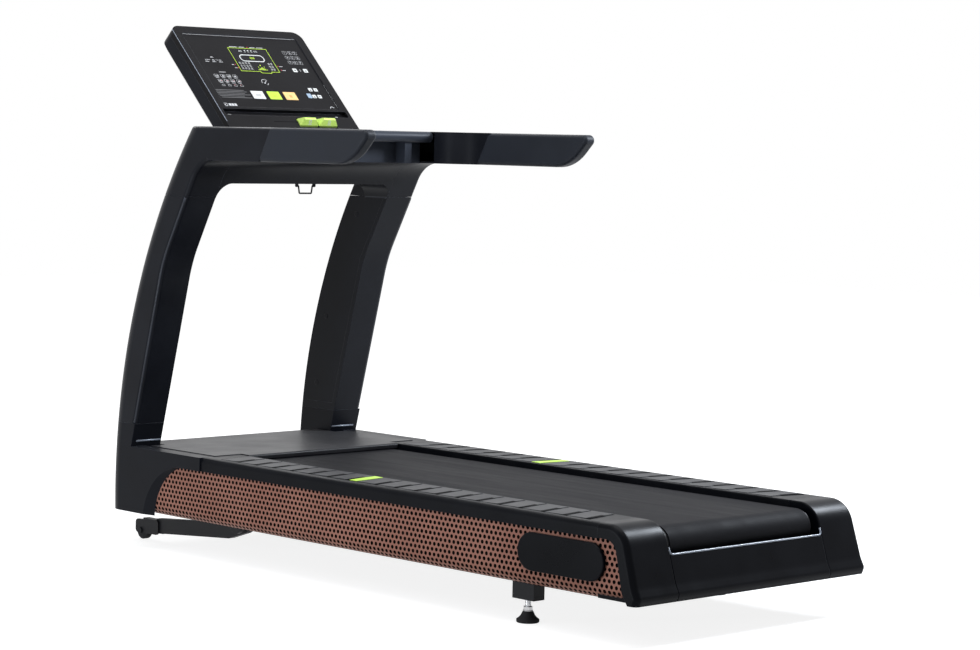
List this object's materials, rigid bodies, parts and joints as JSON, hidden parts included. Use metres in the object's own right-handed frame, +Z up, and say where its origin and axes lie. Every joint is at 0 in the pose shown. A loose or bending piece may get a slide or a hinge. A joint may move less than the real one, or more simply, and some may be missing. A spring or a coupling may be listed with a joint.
{
  "type": "treadmill",
  "caption": "Motorised running machine: moving belt on a low cushioned deck, powered incline, curved uprights with handrails, crossbar, dash tray and tilted console.",
  "frame": {"origin": "on the floor, under the middle of the machine", "axes": "+Y the running direction, towards the console; +X the runner's right; +Z up"},
  "size_m": [0.92, 2.2944, 1.608],
  "materials": {
    "black_cover": "moulded black plastic, satin with a fine grain",
    "gloss_face": "black printed face panel, semi gloss",
    "soft_grip": "soft-touch moulded sleeve, black",
    "rail_tread": "dark grey moulded tread with slanted anti-slip bars",
    "belt": "black running belt with a fine woven texture",
    "drive_rubber": "black ribbed belt",
    "panel": "copper brown painted sheet, perforated",
    "frame_paint": "black powder coat",
    "steel": "bare machined steel",
    "chrome": "bright plated steel",
    "motor_paint": "grey cast housing",
    "alloy": "plain aluminium",
    "deck_wood": "waxed fibreboard",
    "cushion": "black rubber",
    "wheel_rubber": "black solid rubber",
    "lime": "lime green plastic",
    "amber": "amber plastic",
    "white_key": "white plastic",
    "blue_key": "pale blue grey plastic",
    "lens": "smoked display window"
  },
  "bodies": {
    "base": {"badge_plates": "black_cover", "belly_pan": "frame_paint", "console_face": "gloss_face", "console_housing": "black_cover", "cross_members": "frame_paint", "crossbar_cover": "black_cover", "dash_tray": "black_cover", "deck_board": "deck_wood", "deck_cushions": "cushion", "display_lens": "lens", "drive_belt": "drive_rubber", "drive_motor": "motor_paint", "frame_rail_left": "frame_paint", "frame_rail_right": "frame_paint", "front_fairing_left": "black_cover", "front_fairing_right": "black_cover", "handrail_corner_left": "black_cover", "handrail_corner_right": "black_cover", "handrail_grip_left": "soft_grip", "handrail_grip_right": "soft_grip", "inverter_box": "frame_paint", "lift_motor": "motor_paint", "mains_inlet": "black_cover", "mast_frame": "frame_paint", "motor_hood": "black_cover", "motor_tray": "frame_paint", "rear_center_cover": "black_cover", "rear_corner_cap_left": "black_cover", "rear_corner_cap_right": "black_cover", "roller_axles": "steel", "roller_bearings": "steel", "running_belt": "belt", "side_panel_left": "panel", "side_panel_right": "panel", "side_rail_left": "rail_tread", "side_rail_right": "rail_tread", "tread_markers": "lime", "upright_cover_left": "black_cover", "upright_cover_right": "black_cover"},
    "front_roller": {"front_roller": "steel"},
    "rear_roller": {"rear_roller": "steel"},
    "motor_rotor": {"motor_rotor": "steel"},
    "lift_frame": {"lift_frame": "frame_paint", "lift_pins": "steel"},
    "lift_wheel_left": {"lift_wheel_left": "wheel_rubber"},
    "lift_wheel_right": {"lift_wheel_right": "wheel_rubber"},
    "lift_screw": {"lift_screw": "steel"},
    "rear_foot_left": {"rear_foot_left": "steel"},
    "rear_foot_right": {"rear_foot_right": "steel"},
    "key_white": {"key_white": "white_key"},
    "key_lime": {"key_lime": "lime"},
    "key_amber": {"key_amber": "amber"},
    "select_key": {"select_key": "blue_key"},
    "nav_key_1": {"nav_key_1": "blue_key"},
    "nav_key_2": {"nav_key_2": "blue_key"},
    "nav_key_3": {"nav_key_3": "blue_key"},
    "nav_key_4": {"nav_key_4": "blue_key"},
    "paddle_left": {"paddle_left": "lime"},
    "paddle_right": {"paddle_right": "lime"},
    "tether_ring": {"tether_ring": "chrome"}
  },
  "joints": [
    {"name": "front_roller_spin", "type": "hinge", "parent": "base", "child": "front_roller", "pos_m": [0, 0.76, 0.2467], "axis": [1, 0, 0], "continuous": true},
    {"name": "rear_roller_spin", "type": "hinge", "parent": "base", "child": "rear_roller", "pos_m": [0, -1.042, 0.2467], "axis": [1, 0, 0], "continuous": true},
    {"name": "motor_spin", "type": "hinge", "parent": "base", "child": "motor_rotor", "pos_m": [0, 0.965, 0.224], "axis": [1, 0, 0], "continuous": true},
    {"name": "lift_incline", "type": "hinge", "parent": "base", "child": "lift_frame", "pos_m": [0, 0.6, 0.106], "axis": [-1, 0, 0], "range_deg": [0, 32]},
    {"name": "lift_screw_slide", "type": "slide", "parent": "base", "child": "lift_screw", "axis": [0, 1, 0], "range_m": [0, 0.03441]},
    {"name": "lift_wheel_left_roll", "type": "hinge", "parent": "lift_frame", "child": "lift_wheel_left", "pos_m": [-0.31, 1.106, 0.028], "axis": [1, 0, 0], "continuous": true},
    {"name": "rear_foot_left_level", "type": "slide", "parent": "base", "child": "rear_foot_left", "axis": [0, 0, 1], "range_m": [-0.01, 0.01]},
    {"name": "lift_wheel_right_roll", "type": "hinge", "parent": "lift_frame", "child": "lift_wheel_right", "pos_m": [0.31, 1.106, 0.028], "axis": [1, 0, 0], "continuous": true},
    {"name": "rear_foot_right_level", "type": "slide", "parent": "base", "child": "rear_foot_right", "axis": [0, 0, 1], "range_m": [-0.01, 0.01]},
    {"name": "key_white_press", "type": "slide", "parent": "base", "child": "key_white", "axis": [0, 0.7071, -0.7071], "range_m": [0, 0.001], "stiffness_N_per_m": 1500},
    {"name": "key_lime_press", "type": "slide", "parent": "base", "child": "key_lime", "axis": [0, 0.7071, -0.7071], "range_m": [0, 0.001], "stiffness_N_per_m": 1500},
    {"name": "key_amber_press", "type": "slide", "parent": "base", "child": "key_amber", "axis": [0, 0.7071, -0.7071], "range_m": [0, 0.001], "stiffness_N_per_m": 1500},
    {"name": "select_key_press", "type": "slide", "parent": "base", "child": "select_key", "axis": [0, 0.7071, -0.7071], "range_m": [0, 0.001], "stiffness_N_per_m": 1500},
    {"name": "nav_key_1_press", "type": "slide", "parent": "base", "child": "nav_key_1", "axis": [0, 0.7071, -0.7071], "range_m": [0, 0.001], "stiffness_N_per_m": 1500},
    {"name": "nav_key_2_press", "type": "slide", "parent": "base", "child": "nav_key_2", "axis": [0, 0.7071, -0.7071], "range_m": [0, 0.001], "stiffness_N_per_m": 1500},
    {"name": "nav_key_3_press", "type": "slide", "parent": "base", "child": "nav_key_3", "axis": [0, 0.7071, -0.7071], "range_m": [0, 0.001], "stiffness_N_per_m": 1500},
    {"name": "nav_key_4_press", "type": "slide", "parent": "base", "child": "nav_key_4", "axis": [0, 0.7071, -0.7071], "range_m": [0, 0.001], "stiffness_N_per_m": 1500},
    {"name": "paddle_left_tilt", "type": "hinge", "parent": "base", "child": "paddle_left", "pos_m": [0.06, 0.79349, 1.31101], "axis": [1, 0, 0], "range_deg": [-10, 10], "stiffness_Nm_per_rad": 0.8},
    {"name": "paddle_right_tilt", "type": "hinge", "parent": "base", "child": "paddle_right", "pos_m": [0.138, 0.79349, 1.31101], "axis": [1, 0, 0], "range_deg": [-10, 10], "stiffness_Nm_per_rad": 0.8},
    {"name": "tether_ring_swing", "type": "hinge", "parent": "base", "child": "tether_ring", "pos_m": [0, 0.722, 1.121], "axis": [1, 0, 0], "range_deg": [-70, 70]}
  ],
  "couplings": [
    {"joint": "rear_roller_spin", "follows": "front_roller_spin", "ratio": 1},
    {"joint": "motor_spin", "follows": "front_roller_spin", "ratio": 2},
    {"joint": "lift_screw_slide", "follows": "lift_incline", "m_per_rad": 0.06161}
  ]
}
